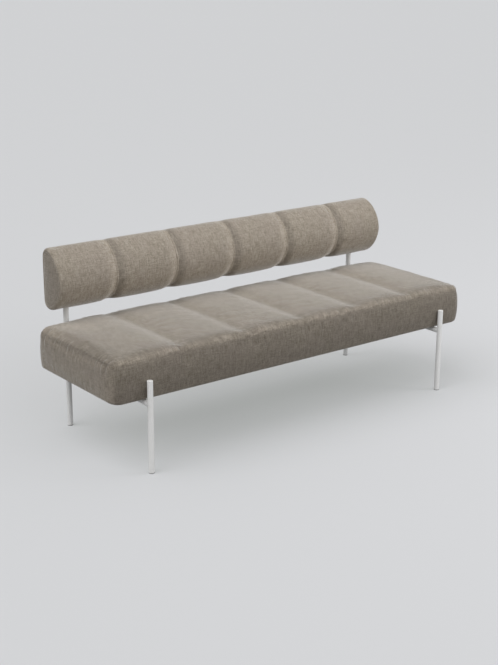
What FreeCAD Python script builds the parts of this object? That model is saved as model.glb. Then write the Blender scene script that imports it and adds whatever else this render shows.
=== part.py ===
"""Dining sofa: a channelled seat and a bolster back on two welded side frames of round steel tube.

Millimetres. X runs along the sofa, with the viewer's left at -X. Y runs from front (-Y) to back (+Y).
Z is up. The origin is on the floor, midway between the four tubes that stand on it.
"""
import FreeCAD
import Part
import Sketcher
import math
import os

from FreeCAD import Vector

doc = FreeCAD.newDocument("DiningSofa")

# Driving sizes
SIZES = [
    ("tube_diameter", 25, "outer diameter of every tube of the frame"),
    ("tube_wall", 2, "wall of the tubes"),
    ("leg_spacing", 1664, "left tube axis to right tube axis"),
    ("leg_depth", 667, "front tube axis to rear tube axis"),
    ("front_leg_height", 404, "floor to the top of the front leg's cap"),
    ("post_stop", 5, "top of the rear post's cap to the top of its block, inside the bolster"),
    ("weld_gap", 0.1, "coped rail end to the tube that it is welded to"),
    ("cap_thickness", 3, "cap above the end of its tube"),
    ("cap_edge", 0.8, "chamfer round a cap"),
    ("spigot_depth", 10, "cap's or glide's plug inside the tube"),
    ("glide_thickness", 4, "glide under the tube"),
    ("glide_edge", 1.2, "chamfer round a glide's foot"),
    ("fit_clearance", 0.2, "radial clearance of a plug or a bolt in its hole"),
    ("thread_clearance", 0.1, "radial clearance of a thread"),
    ("soft_gap", 0.3, "padding to the part that it would otherwise touch"),
    ("cover_thickness", 1.5, "woven cover with its backing"),
    ("lining_thickness", 1, "dust cloth under the seat"),
    ("lining_lap", 14, "dust cloth past the edge of the cover's opening"),
    ("hem_lap", 26, "cover turned in under the timber frame"),
    ("seat_overhang", 168, "tube axis to the end of the seat"),
    ("seat_bottom", 315, "floor to the seat's underside"),
    ("seat_thickness", 188, "seat's underside to its top edge at a seam"),
    ("seat_bulge", 10, "outward bow of the seat's front and back faces"),
    ("seat_crown", 4, "rise of the seat's top from its edges to its middle, at a seam"),
    ("seat_puff_edge", 7, "rise of a panel above its seams, at the front and back edges"),
    ("seat_puff_middle", 3, "further rise of a panel in the middle of the seat"),
    ("seat_end_droop", 17, "fall of the top edge towards the seat's ends"),
    ("seat_droop_length", 300, "length over which the top edge falls"),
    ("seat_top_radius", 24, "roll at the top edges"),
    ("seat_bottom_radius", 14, "roll at the bottom edges"),
    ("seat_plan_radius", 50, "seat's corners seen from above"),
    ("seat_dome", 5, "outward bow of the seat's end faces"),
    ("seam_pitch", 319.6, "seam to seam, on the seat and on the bolster"),
    ("seam_count", 5, "seams across each cushion"),
    ("panel_fullness", 3.7, "power of a panel's profile: 2 is round, more is fuller at its seams"),
    ("base_height", 50, "timber frame of the seat"),
    ("base_inset", 26, "cover to the timber frame, front and back"),
    ("base_end_inset", 60, "end of the seat to the end of the timber frame"),
    ("timber_thickness", 28, "rails of the timber frame"),
    ("cross_rail_width", 70, "timbers that the seat's bolts go into"),
    ("inner_rail_spacing", 560, "between the two timbers in the middle of the seat"),
    ("corner_block_gap", 3, "triangular corner block to the cross rail beside it"),
    ("deck_thickness", 12, "plywood deck"),
    ("bolt_setback", 133.5, "tube axis to the seat bolt beside it"),
    ("bolt_diameter", 6, "seat and bolster bolts"),
    ("bolt_head_diameter", 10, "bolt heads"),
    ("seat_head_height", 6, "heads of the seat's bolts"),
    ("bolster_head_height", 3.6, "low heads of the bolster's bolts"),
    ("socket_width", 4.6, "hexagon socket in a bolt head, across its corners"),
    ("socket_depth", 2.4, "hexagon socket in a bolt head"),
    ("washer_diameter", 16, "washers under the bolt heads"),
    ("washer_thickness", 1.6, "flat washers, and saddle washers at their thinnest"),
    ("insert_diameter", 9, "threaded inserts"),
    ("insert_length", 15, "threaded inserts"),
    ("insert_passed", 3, "seat bolt past the end of its insert"),
    ("bolster_overhang", 96, "tube axis to the end of the bolster"),
    ("bolster_bottom", 560, "floor to the bolster's underside"),
    ("bolster_height", 276.6, "bolster's underside to its top"),
    ("bolster_depth", 162, "bolster's back to its convex front"),
    ("bolster_back_radius", 40, "roll at the bolster's back edges"),
    ("bolster_shoulder_radius", 60, "roll from the bolster's top into its front"),
    ("bolster_front_dip", 6, "depth of a seam at the bolster's front"),
    ("bolster_top_dip", 1, "depth of a seam at the bolster's top"),
    ("bolster_bottom_dip", 7, "depth of a seam at the bolster's underside"),
    ("bolster_end_radius", 17, "roll at the bolster's ends"),
    ("bolster_dome", 3, "outward bow of the bolster's ends"),
    ("board_thickness", 12, "plywood in the bolster's back"),
    ("board_margin", 50, "edge of the bolster's back to its board"),
    ("block_width", 70, "post blocks, along the bolster"),
    ("block_front_wall", 22, "post block in front of its post"),
    ("block_back_wall", 3, "post block between its post and the board"),
    ("post_clearance", 0.3, "radial clearance of a rear post in its block and holes"),
    ("bolster_bolt_inset", 43.3, "end of a post block to the bolt beside it"),
    ("recess_depth", 6, "recess in the board for a bolster bolt's head and washer"),
    ("recess_clearance", 0.5, "radial clearance of a washer in its recess"),
]

sheet = doc.addObject("Spreadsheet::Sheet", "Sizes")
for row, (alias, value, meaning) in enumerate(SIZES, start=1):
    sheet.set(f"A{row}", meaning)
    sheet.set(f"B{row}", str(value))
    sheet.setAlias(f"B{row}", alias)
doc.recompute()


def S(alias):
    """a driving size, as a term of an expression"""
    return f"Sizes.{alias}"


def number(expression):
    """what an expression on the sheet comes to, in millimetres"""
    value = sheet.evalExpression(str(expression))
    return float(getattr(value, "Value", value))


# Places that more than one part reads
TUBE_RADIUS = f"({S('tube_diameter')} / 2)"
TUBE_BORE = f"({S('tube_diameter')} - 2 * {S('tube_wall')})"
FRAME_X = f"({S('leg_spacing')} / 2)"
FRAME_Y = f"({S('leg_depth')} / 2)"
LINING_Z = f"({S('seat_bottom')} - {S('lining_thickness')})"
RAIL_Z = f"({LINING_Z} - {S('soft_gap')} - {TUBE_RADIUS})"
SEAT_HALF_LENGTH = f"({FRAME_X} + {S('seat_overhang')})"
SEAT_HALF_DEPTH = f"({FRAME_Y} - {TUBE_RADIUS} - {S('soft_gap')} - {S('seat_bulge')})"
BASE_Z = f"({S('seat_bottom')} + {S('cover_thickness')})"
BASE_HALF_LENGTH = f"({SEAT_HALF_LENGTH} - {S('base_end_inset')})"
BASE_HALF_DEPTH = f"({SEAT_HALF_DEPTH} - {S('base_inset')})"
DECK_Z = f"({BASE_Z} + {S('base_height')})"
HEM_HALF_LENGTH = f"({BASE_HALF_LENGTH} - {S('hem_lap')})"
HEM_HALF_DEPTH = f"({BASE_HALF_DEPTH} - {S('hem_lap')})"
FOAM_OFFSET = f"({S('cover_thickness')} + {S('soft_gap')})"
BOLT_Y = f"({FRAME_Y} - {S('bolt_setback')})"
BOLT_HOLE = f"({S('bolt_diameter')} + 2 * {S('fit_clearance')})"
INSERT_HOLE = f"({S('insert_diameter')} + 2 * {S('thread_clearance')})"
POST_HOLE = f"({S('tube_diameter')} + 2 * {S('post_clearance')})"
POST_TO_BOARD = f"({TUBE_RADIUS} + {S('post_clearance')} + {S('block_back_wall')})"
POST_TO_BACK = f"({POST_TO_BOARD} + {S('board_thickness')} + {FOAM_OFFSET})"
BOLSTER_BACK = f"({FRAME_Y} + {POST_TO_BACK})"
BOLSTER_HALF_LENGTH = f"({FRAME_X} + {S('bolster_overhang')})"
BOARD_BACK = f"({BOLSTER_BACK} - {FOAM_OFFSET})"
BOARD_FRONT = f"({BOARD_BACK} - {S('board_thickness')})"
BOARD_Z = f"({S('bolster_bottom')} + {S('board_margin')})"
BOARD_HEIGHT = f"({S('bolster_height')} - 2 * {S('board_margin')})"
BOARD_HALF_LENGTH = f"({BOLSTER_HALF_LENGTH} - {S('board_margin')})"
REAR_POST_TOP = f"({BOARD_Z} + {BOARD_HEIGHT} - {S('post_stop')})"
BLOCK_FRONT = f"({FRAME_Y} - {TUBE_RADIUS} - {S('post_clearance')} - {S('block_front_wall')})"
BLOCK_DEPTH = f"({BOARD_FRONT} - {BLOCK_FRONT})"
LOWER_BOLT = S("bolster_bolt_inset")
UPPER_BOLT = f"({BOARD_HEIGHT} - {S('bolster_bolt_inset')})"
BOLT_SEAT_Y = f"({BOARD_BACK} - {S('recess_depth')})"
INSERT_BACK = f"({FRAME_Y} - {TUBE_RADIUS} - {S('post_clearance')})"
SIDES = {"left": -1, "right": 1}

finished = []


def bind(thing, **expressions):
    """binds properties of an object to expressions on the sheet"""
    for name, expression in expressions.items():
        thing.setExpression(name, str(expression))
    return thing


def place(thing, x="0", y="0", z="0"):
    """binds where an object stands"""
    for axis, expression in zip("xyz", (x, y, z)):
        thing.setExpression(f".Placement.Base.{axis}", str(expression))
    return thing


def finish(thing, label):
    """marks an object as a finished part of the sofa"""
    thing.Label = label
    finished.append(thing)
    return thing


def sketch_on(body, name, role):
    """a sketch on one of the body's own origin planes"""
    sketch = body.newObject("Sketcher::SketchObject", name)
    plane = next(feature for feature in body.Origin.OriginFeatures if feature.Role == role)
    sketch.AttachmentSupport = [(plane, "")]
    sketch.MapMode = "FlatFace"
    return sketch


def pin_point(sketch, geometry, point, across, up):
    """binds a point's distances from the sketch's two axes"""
    for kind, expression, axis in (("DistanceX", across, -2), ("DistanceY", up, -1)):
        value = number(expression)
        if value == 0:
            sketch.addConstraint(Sketcher.Constraint("PointOnObject", geometry, point, axis))
            continue
        rule = Sketcher.Constraint(kind, -1, 1, geometry, point, value)
        index = sketch.addConstraint(rule)
        sketch.setExpression(f"Constraints[{index}]", str(expression))


def draw_circle(sketch, diameter, across="0", up="0"):
    """a circle with its centre and diameter bound to the sheet"""
    centre = Vector(number(across), number(up), 0)
    circle = sketch.addGeometry(Part.Circle(centre, Vector(0, 0, 1), number(diameter) / 2), False)
    pin_point(sketch, circle, 3, across, up)
    index = sketch.addConstraint(Sketcher.Constraint("Diameter", circle, number(diameter)))
    sketch.setExpression(f"Constraints[{index}]", str(diameter))


def draw_outline(sketch, corners):
    """a closed outline of straight lines, with each corner bound to the sheet"""
    points = [Vector(number(across), number(up), 0) for across, up in corners]
    lines = []
    for start, end in zip(points, points[1:] + points[:1]):
        lines.append(sketch.addGeometry(Part.LineSegment(start, end), False))
    for line, following in zip(lines, lines[1:] + lines[:1]):
        sketch.addConstraint(Sketcher.Constraint("Coincident", line, 2, following, 1))
    for line, (across, up) in zip(lines, corners):
        pin_point(sketch, line, 1, across, up)


def draw_rectangle(sketch, half_width, bottom, top):
    """a rectangle about the sketch's upright axis"""
    half = f"({half_width})"
    draw_outline(sketch, [(f"-{half}", bottom), (half, bottom), (half, top), (f"-{half}", top)])


def pad(body, name, sketch, length, both_ways=False, backwards=False):
    """material along the sketch's normal"""
    feature = body.newObject("PartDesign::Pad", name)
    feature.Profile = sketch
    feature.SideType = "Symmetric" if both_ways else "One side"
    feature.Reversed = backwards
    return bind(feature, Length=length)


def drill(body, name, role, diameter, places, depth=None, backwards=False):
    """round holes from an origin plane of the body: right through, or to a depth"""
    holes = sketch_on(body, name, role)
    for across, up in places:
        draw_circle(holes, diameter, across, up)
    feature = body.newObject("PartDesign::Pocket", f"{name}_cut")
    feature.Profile = holes
    if depth is None:
        feature.Type = "ThroughAll"
        feature.SideType = "Symmetric"
        return feature
    feature.Reversed = backwards
    return bind(feature, Length=depth)


def slab(label, half_x, half_y, height, x="0", y="0", z="0"):
    """a sawn timber, a board or a sheet, from its underside up"""
    body = doc.addObject("PartDesign::Body", label)
    outline = sketch_on(body, f"{label}_outline", "XY_Plane")
    draw_rectangle(outline, half_x, f"-({half_y})", half_y)
    pad(body, f"{label}_height", outline, height)
    return finish(place(body, x, y, z), label)


# Side frames: cold-drawn round steel tube. A front leg, a rear post and the side rail between them are
# welded into one frame at each end of the sofa. The rail's ends are coped to the round of its neighbours.
def upright(label, x, y, top):
    body = doc.addObject("PartDesign::Body", label)
    ring = sketch_on(body, f"{label}_ring", "XY_Plane")
    draw_circle(ring, S("tube_diameter"))
    draw_circle(ring, TUBE_BORE)
    pad(body, f"{label}_length", ring, f"{top} - {S('cap_thickness')} - {S('glide_thickness')}")
    return finish(place(body, x, y, S("glide_thickness")), label)


def side_rail(label, x):
    body = doc.addObject("PartDesign::Body", label)
    ring = sketch_on(body, f"{label}_ring", "XZ_Plane")
    draw_circle(ring, S("tube_diameter"))
    draw_circle(ring, TUBE_BORE)
    pad(body, f"{label}_length", ring, S("leg_depth"), both_ways=True)
    cope = f"({S('tube_diameter')} + 2 * {S('weld_gap')})"
    drill(body, f"{label}_copes", "XY_Plane", cope, [("0", f"-{FRAME_Y}"), ("0", FRAME_Y)])
    drill(body, f"{label}_bolt_holes", "XY_Plane", BOLT_HOLE, [("0", f"-{BOLT_Y}"), ("0", BOLT_Y)])
    return finish(place(body, x, "0", RAIL_Z), label)


# Caps and glides: moulded plugs. A cap closes the top of a tube, and a glide stands it on the floor.
def plug(label, x, y, z, thickness, edge, upwards):
    """a disc as wide as the tube, on a spigot that fills the tube's bore"""
    out, back = ("", "-") if upwards else ("-", "")
    spigot = f"({TUBE_BORE} / 2 - {S('fit_clearance')})"
    body = doc.addObject("PartDesign::Body", label)
    profile = sketch_on(body, f"{label}_profile", "XZ_Plane")
    draw_outline(profile, [
        ("0", f"{back}{S('spigot_depth')}"),
        (spigot, f"{back}{S('spigot_depth')}"),
        (spigot, "0"),
        (TUBE_RADIUS, "0"),
        (TUBE_RADIUS, f"{out}({thickness} - {edge})"),
        (f"({TUBE_RADIUS} - {edge})", f"{out}{thickness}"),
        ("0", f"{out}{thickness}"),
    ])
    turned = body.newObject("PartDesign::Revolution", f"{label}_turned")
    turned.Profile = profile
    turned.ReferenceAxis = (profile, ["V_Axis"])
    turned.Angle = 360
    return finish(place(body, x, y, z), label)


for side, sign in SIDES.items():
    frame_x = f"{sign} * {FRAME_X}"
    upright(f"front_leg_{side}", frame_x, f"-{FRAME_Y}", S("front_leg_height"))
    post = upright(f"rear_post_{side}", frame_x, FRAME_Y, REAR_POST_TOP)
    holes = [("0", f"({BOARD_Z} + {rise} - {S('glide_thickness')})") for rise in (LOWER_BOLT, UPPER_BOLT)]
    drill(post, f"rear_post_{side}_bolt_holes", "XZ_Plane", BOLT_HOLE, holes)
    side_rail(f"side_rail_{side}", frame_x)
    tops = (("front_leg", f"-{FRAME_Y}", S("front_leg_height")), ("rear_post", FRAME_Y, REAR_POST_TOP))
    for name, y, top in tops:
        cap_z = f"{top} - {S('cap_thickness')}"
        plug(f"{name}_cap_{side}", frame_x, y, cap_z, S("cap_thickness"), S("cap_edge"), upwards=True)
    for name, y in (("front_glide", f"-{FRAME_Y}"), ("rear_glide", FRAME_Y)):
        thickness = S("glide_thickness")
        plug(f"{name}_{side}", frame_x, y, thickness, thickness, S("glide_edge"), upwards=False)


# Timber frame of the seat: softwood rails glued and stapled at their butt joints, with a glued block in
# each corner and a plywood deck on top. The cross rails lie over the steel side rails and take the bolts.
HALF_TIMBER = f"({S('timber_thickness')} / 2)"
BETWEEN_RAILS = f"({BASE_HALF_DEPTH} - {S('timber_thickness')})"
for name, sign in (("front", -1), ("back", 1)):
    slab(f"base_{name}_rail", BASE_HALF_LENGTH, HALF_TIMBER, S("base_height"),
         "0", f"{sign} * ({BASE_HALF_DEPTH} - {HALF_TIMBER})", BASE_Z)

for side, sign in SIDES.items():
    slab(f"base_end_rail_{side}", HALF_TIMBER, BETWEEN_RAILS, S("base_height"),
         f"{sign} * ({BASE_HALF_LENGTH} - {HALF_TIMBER})", "0", BASE_Z)
    slab(f"base_inner_rail_{side}", HALF_TIMBER, BETWEEN_RAILS, S("base_height"),
         f"{sign} * {S('inner_rail_spacing')} / 2", "0", BASE_Z)
    cross = slab(f"base_cross_rail_{side}", f"{S('cross_rail_width')} / 2", BETWEEN_RAILS,
                 S("base_height"), f"{sign} * {FRAME_X}", "0", BASE_Z)
    insert_places = [("0", f"-{BOLT_Y}"), ("0", BOLT_Y)]
    drill(cross, f"base_cross_rail_{side}_holes", "XY_Plane", INSERT_HOLE, insert_places)


def corner_block(label, x_sign, y_sign):
    """a right-angled block whose two short sides lie against the rails"""
    cross_rail_edge = f"({FRAME_X} + {S('cross_rail_width')} / 2)"
    end_to_cross = f"({BASE_HALF_LENGTH} - {S('timber_thickness')} - {cross_rail_edge})"
    leg = f"({end_to_cross} - {S('corner_block_gap')})"
    body = doc.addObject("PartDesign::Body", label)
    outline = sketch_on(body, f"{label}_outline", "XY_Plane")
    draw_outline(outline, [("0", "0"), (f"{-x_sign} * {leg}", "0"), ("0", f"{-y_sign} * {leg}")])
    pad(body, f"{label}_height", outline, S("base_height"))
    inner_x = f"({BASE_HALF_LENGTH} - {S('timber_thickness')})"
    return finish(place(body, f"{x_sign} * {inner_x}", f"{y_sign} * {BETWEEN_RAILS}", BASE_Z), label)


for side, x_sign in SIDES.items():
    for name, y_sign in (("front", -1), ("back", 1)):
        corner_block(f"corner_block_{name}_{side}", x_sign, y_sign)

slab("seat_deck", BASE_HALF_LENGTH, BASE_HALF_DEPTH, S("deck_thickness"), "0", "0", DECK_Z)

# Dust cloth: closes the underside, over the turned-in edge of the cover
LINING_HALF_LENGTH = f"({HEM_HALF_LENGTH} + {S('lining_lap')})"
LINING_HALF_DEPTH = f"({HEM_HALF_DEPTH} + {S('lining_lap')})"
lining_sizes = (LINING_HALF_LENGTH, LINING_HALF_DEPTH, S("lining_thickness"))
lining = slab("seat_lining", *lining_sizes, "0", "0", LINING_Z)
bolt_places = [(f"{x} * {FRAME_X}", f"{y} * {BOLT_Y}") for x in (-1, 1) for y in (-1, 1)]
drill(lining, "seat_lining_holes", "XY_Plane", BOLT_HOLE, bolt_places)

# Bolster's board and post blocks: the board stands in the bolster's back, and a timber block on it is
# bored for each rear post. The board's recesses take the bolts' heads, under the cover.
board = doc.addObject("PartDesign::Body", "bolster_board")
board_outline = sketch_on(board, "bolster_board_outline", "XZ_Plane")
draw_rectangle(board_outline, BOARD_HALF_LENGTH, "0", BOARD_HEIGHT)
pad(board, "bolster_board_thickness", board_outline, S("board_thickness"))
board_bolts = [(f"{sign} * {FRAME_X}", rise) for sign in SIDES.values() for rise in (LOWER_BOLT, UPPER_BOLT)]
drill(board, "bolster_board_holes", "XZ_Plane", BOLT_HOLE, board_bolts)
RECESS_DIAMETER = f"({S('washer_diameter')} + 2 * {S('recess_clearance')})"
drill(board, "bolster_board_recesses", "XZ_Plane", RECESS_DIAMETER, board_bolts, S("recess_depth"),
      backwards=True)
finish(place(board, "0", BOARD_BACK, BOARD_Z), "bolster_board")


def post_block(label, x):
    body = doc.addObject("PartDesign::Body", label)
    front = sketch_on(body, f"{label}_front", "XZ_Plane")
    draw_rectangle(front, f"{S('block_width')} / 2", "0", BOARD_HEIGHT)
    pad(body, f"{label}_depth", front, BLOCK_DEPTH, backwards=True)
    bolts = [("0", LOWER_BOLT), ("0", UPPER_BOLT)]
    post_axis = f"({FRAME_Y} - {BLOCK_FRONT})"
    drill(body, f"{label}_bore", "XY_Plane", POST_HOLE, [("0", post_axis)])
    drill(body, f"{label}_bolt_holes", "XZ_Plane", BOLT_HOLE, bolts)
    drill(body, f"{label}_insert_holes", "XZ_Plane", INSERT_HOLE, bolts, post_axis)
    return finish(place(body, x, BLOCK_FRONT, BOARD_Z), label)


for side, sign in SIDES.items():
    post_block(f"post_block_{side}", f"{sign} * {FRAME_X}")


# Fasteners: each is made once, at its place at the right and back, and mirrored to the others. A bolt
# stands on its washer with its head below; a bolster bolt is turned to run from the back forwards.
FORWARDS = FreeCAD.Rotation(Vector(1, 0, 0), 90)


def cylinder(name, diameter, height, z="0"):
    thing = doc.addObject("Part::Cylinder", name)
    bind(thing, Radius=f"({diameter}) / 2", Height=height)
    return place(thing, z=z)


def cut(name, base, tool):
    thing = doc.addObject("Part::Cut", name)
    thing.Base = base
    thing.Tool = tool
    return thing


def bolt(name, length, head_height):
    """a bolt that points up, with the seat of its head at its origin"""
    shank = cylinder(f"{name}_shank", S("bolt_diameter"), length)
    head = cylinder(f"{name}_head", S("bolt_head_diameter"), head_height, f"-{head_height}")
    whole = doc.addObject("Part::Fuse", f"{name}_turned")
    whole.Base = shank
    whole.Tool = head
    socket = doc.addObject("Part::Prism", f"{name}_socket")
    socket.Polygon = 6
    bind(socket, Circumradius=f"{S('socket_width')} / 2", Height=S("socket_depth"))
    place(socket, z=f"-{head_height}")
    return cut(name, whole, socket)


def ring(name, outer, inner, height):
    """a washer or an insert, from its origin up"""
    return cut(name, cylinder(f"{name}_body", outer, height), cylinder(f"{name}_bore", inner, height))


def saddle_washer(name):
    """a washer whose upper side is hollowed to the round of the side rail, which rests on its origin"""
    rise = f"({TUBE_RADIUS} - sqrt({TUBE_RADIUS}^2 - ({S('washer_diameter')} / 2)^2))"
    foot = f"-({S('washer_thickness')} + {S('weld_gap')})"
    height = f"({S('washer_thickness')} + {S('weld_gap')} + {rise})"
    blank = cylinder(f"{name}_blank", S("washer_diameter"), height, foot)
    hole = cylinder(f"{name}_hole", BOLT_HOLE, height, foot)
    drilled = cut(f"{name}_drilled", blank, hole)
    rail = doc.addObject("Part::Cylinder", f"{name}_rail")
    bind(rail, Radius=f"{TUBE_RADIUS} + {S('weld_gap')}", Height=S("tube_diameter"))
    rail.Placement = FreeCAD.Placement(Vector(0, 0, 0), FORWARDS)
    place(rail, "0", TUBE_RADIUS, TUBE_RADIUS)
    return cut(name, drilled, rail)


def mirror(thing, name, normal):
    """a thing and its mirror image"""
    image = doc.addObject("Part::Mirroring", f"{name}_image")
    image.Source = thing
    image.Normal = normal
    return together(name, [thing, image])


def together(name, things):
    group = doc.addObject("Part::Compound", name)
    group.Links = things
    return group


RAIL_FOOT = f"({RAIL_Z} - {TUBE_RADIUS})"
HEAD_SEAT = f"({RAIL_FOOT} - {S('washer_thickness')} - {S('weld_gap')})"
BOLT_END = f"({BASE_Z} + {S('insert_length')} + {S('insert_passed')})"
THREAD_HOLE = f"({S('bolt_diameter')} + 2 * {S('thread_clearance')})"
seat_fasteners = {
    "seat_bolts": (bolt("seat_bolt", f"{BOLT_END} - {HEAD_SEAT}", S("seat_head_height")), HEAD_SEAT),
    "seat_washers": (saddle_washer("seat_washer"), RAIL_FOOT),
    "seat_inserts": (ring("seat_insert", S("insert_diameter"), THREAD_HOLE, S("insert_length")), BASE_Z),
}
for label, (piece, z) in seat_fasteners.items():
    place(piece, FRAME_X, BOLT_Y, z)
    finish(mirror(mirror(piece, f"{label}_across", (1, 0, 0)), label, (0, 1, 0)), label)

BOLSTER_HEAD_Y = f"({BOLT_SEAT_Y} + {S('washer_thickness')})"
INSERT_FRONT = f"({INSERT_BACK} - {S('insert_length')})"


def bolster_fastener(kind, name):
    if kind == "bolts":
        return bolt(name, f"{BOLSTER_HEAD_Y} - {INSERT_FRONT}", S("bolster_head_height"))
    if kind == "washers":
        return ring(name, S("washer_diameter"), BOLT_HOLE, S("washer_thickness"))
    return ring(name, S("insert_diameter"), THREAD_HOLE, S("insert_length"))


for kind, y in (("bolts", BOLSTER_HEAD_Y), ("washers", BOLSTER_HEAD_Y), ("inserts", INSERT_BACK)):
    column = []
    for level, rise in (("lower", LOWER_BOLT), ("upper", UPPER_BOLT)):
        piece = bolster_fastener(kind, f"bolster_{level}_{kind}")
        piece.Placement = FreeCAD.Placement(Vector(0, 0, 0), FORWARDS)
        column.append(place(piece, FRAME_X, y, f"{BOARD_Z} + {rise}"))
    label = f"bolster_{kind}"
    finish(mirror(together(f"{label}_column", column), label, (1, 0, 0)), label)


# Padded forms. Each cushion is skinned through sections across the sofa; a section is a closed line of
# straight lines and tangent arcs, and the panels between two seams are full in their middle.
def arc(centre, radius, start, end):
    """an arc in the plane of Y and Z, from one angle to another, in degrees"""
    points = [on_circle(centre, radius, angle) for angle in (start, (start + end) / 2, end)]
    return Part.Arc(*[Vector(0, *point) for point in points]).toShape()


def line(start, end):
    return Part.LineSegment(Vector(0, *start), Vector(0, *end)).toShape()


def on_circle(centre, radius, angle):
    turn = math.radians(angle)
    return (centre[0] + radius * math.cos(turn), centre[1] + radius * math.sin(turn))


def angle_from(centre, point):
    """the direction from one point to another in degrees, from -90 up to 270"""
    angle = math.degrees(math.atan2(point[1] - centre[1], point[0] - centre[0]))
    return angle + 360 if angle < -90 else angle


def section(x, edges):
    """a closed wire across the sofa"""
    wire = Part.Wire(edges)
    wire.translate(Vector(x, 0, 0))
    return wire


def seat_section(x, side_inset, top_inset, bottom_inset, offset):
    """the seat across its length: flat below, bowed at front and back, crowned on top"""
    fullness = panel_rise(x)
    half = number(SEAT_HALF_DEPTH) - side_inset
    low = bottom_inset
    droop = max(0, abs(x) - number(SEAT_HALF_LENGTH) + number(S("seat_droop_length")))
    fall = number(S("seat_end_droop")) * (droop / number(S("seat_droop_length"))) ** 2
    high = number(S("seat_thickness")) + number(S("seat_puff_edge")) * fullness - fall - top_inset
    flatter = 1 - side_inset / number(SEAT_HALF_DEPTH)
    crown = (number(S("seat_crown")) + number(S("seat_puff_middle")) * fullness) * flatter
    bulge = number(S("seat_bulge")) * flatter
    top_roll = number(S("seat_top_radius"))
    bottom_roll = number(S("seat_bottom_radius"))

    middle = (low + high) / 2
    side_radius = (((high - low) / 2) ** 2 + bulge ** 2) / (2 * bulge)
    side_centre = (half + bulge - side_radius, middle)
    top_radius = (half ** 2 + crown ** 2) / (2 * crown)
    top_centre = (0, high + crown - top_radius)
    upper = circles_meet(side_centre, side_radius - top_roll, top_centre, top_radius - top_roll)
    lower_z = low + bottom_roll
    reach = math.sqrt((side_radius - bottom_roll) ** 2 - (lower_z - middle) ** 2)
    lower = (side_centre[0] + reach, lower_z)

    def other(point):
        return (-point[0], point[1])

    low_turn = angle_from(side_centre, lower)
    side_turn = angle_from(side_centre, upper)
    top_turn = angle_from(top_centre, upper)
    floor = low + offset
    return section(x, [
        line((-lower[0], floor), (lower[0], floor)),
        arc(lower, bottom_roll - offset, -90, low_turn),
        arc(side_centre, side_radius - offset, low_turn, side_turn),
        arc(upper, top_roll - offset, side_turn, top_turn),
        arc(top_centre, top_radius - offset, top_turn, 180 - top_turn),
        arc(other(upper), top_roll - offset, 180 - top_turn, 180 - side_turn),
        arc(other(side_centre), side_radius - offset, 180 - side_turn, 180 - low_turn),
        arc(other(lower), bottom_roll - offset, 180 - low_turn, 270),
    ])


def circles_meet(first, first_radius, second, second_radius):
    """where two circles meet, on the side of larger Y"""
    along = Vector(second[0] - first[0], second[1] - first[1], 0)
    apart = along.Length
    foot = (first_radius ** 2 - second_radius ** 2 + apart ** 2) / (2 * apart)
    height = math.sqrt(first_radius ** 2 - foot ** 2)
    unit = along / apart
    options = []
    for side in (-1, 1):
        options.append((first[0] + foot * unit.x - side * height * unit.y,
                        first[1] + foot * unit.y + side * height * unit.x))
    return max(options)


def bolster_section(x, inset, offset):
    """the bolster across its length: an upright back, rolled back edges and a convex front"""
    dip = 1 - panel_rise(x)
    low = number(S("bolster_bottom_dip")) * dip + inset + offset
    high = number(S("bolster_height")) - number(S("bolster_top_dip")) * dip - inset - offset
    back = -inset - offset
    front = -number(S("bolster_depth")) + number(S("bolster_front_dip")) * dip + inset + offset
    corner = number(S("bolster_back_radius")) - inset - offset
    shoulder = number(S("bolster_shoulder_radius")) - inset - offset

    middle = (low + high) / 2
    start = back - corner
    run = start - front
    rise = (high - low) / 2 - shoulder
    nose = (run ** 2 + rise ** 2 - shoulder ** 2) / (2 * (run - shoulder))
    nose_centre = (front + nose, middle)
    upper = (start, high - shoulder)
    lower = (start, low + shoulder)
    turn = angle_from(nose_centre, upper)
    return section(x, [
        line((back, low + corner), (back, high - corner)),
        arc((start, high - corner), corner, 0, 90),
        arc(upper, shoulder, 90, turn),
        arc(nose_centre, nose, turn, 360 - turn),
        arc(lower, shoulder, 360 - turn, 270),
        arc((start, low + corner), corner, 270, 360),
    ])


def seam_places():
    count = round(number(S("seam_count")))
    pitch = number(S("seam_pitch"))
    return [(index - (count - 1) / 2) * pitch for index in range(count)]


def panel_rise(x):
    """0 at a seam and 1 in the middle of a panel; an end panel stays full past its middle"""
    seams = seam_places()
    share = min(abs(x - seam) for seam in seams) / number(S("seam_pitch"))
    if abs(x) > seams[-1]:
        share = min(share, 0.5)
    return 1 - abs(1 - 2 * share) ** number(S("panel_fullness"))


PANEL_SHARES = (0, 0.06, 0.2, 0.5, 0.8, 0.94, 1)
END_PANEL_SHARES = (0, 0.06, 0.18, 0.5, 0.75, 1)
ROUNDING_ANGLES = (0, 30, 60, 90)
DOME_SHARES = (0, 0.5, 1)


def skin(sections):
    return Part.makeLoft(sections, False, False).Faces


def cushion(section_of, end_sections):
    """a closed solid: the panels between the seams, an end panel and a rounded end at each side"""
    seams = seam_places()
    faces = []
    for start, end in zip(seams, seams[1:]):
        faces += skin([section_of(start + (end - start) * share) for share in PANEL_SHARES])
    for sign in (-1, 1):
        rounding, dome = end_sections(sign)
        shoulder_x = rounding[0].BoundBox.Center.x
        last = sign * seams[-1]
        faces += skin([section_of(last + (shoulder_x - last) * share) for share in END_PANEL_SHARES])
        faces += skin(rounding)
        faces += skin(dome)
        faces.append(Part.Face(dome[-1]))
    shell = Part.Shell(faces)
    shell.sewShape()
    solid = Part.Solid(shell)
    if solid.Volume < 0:
        solid.reverse()
    return solid


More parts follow.
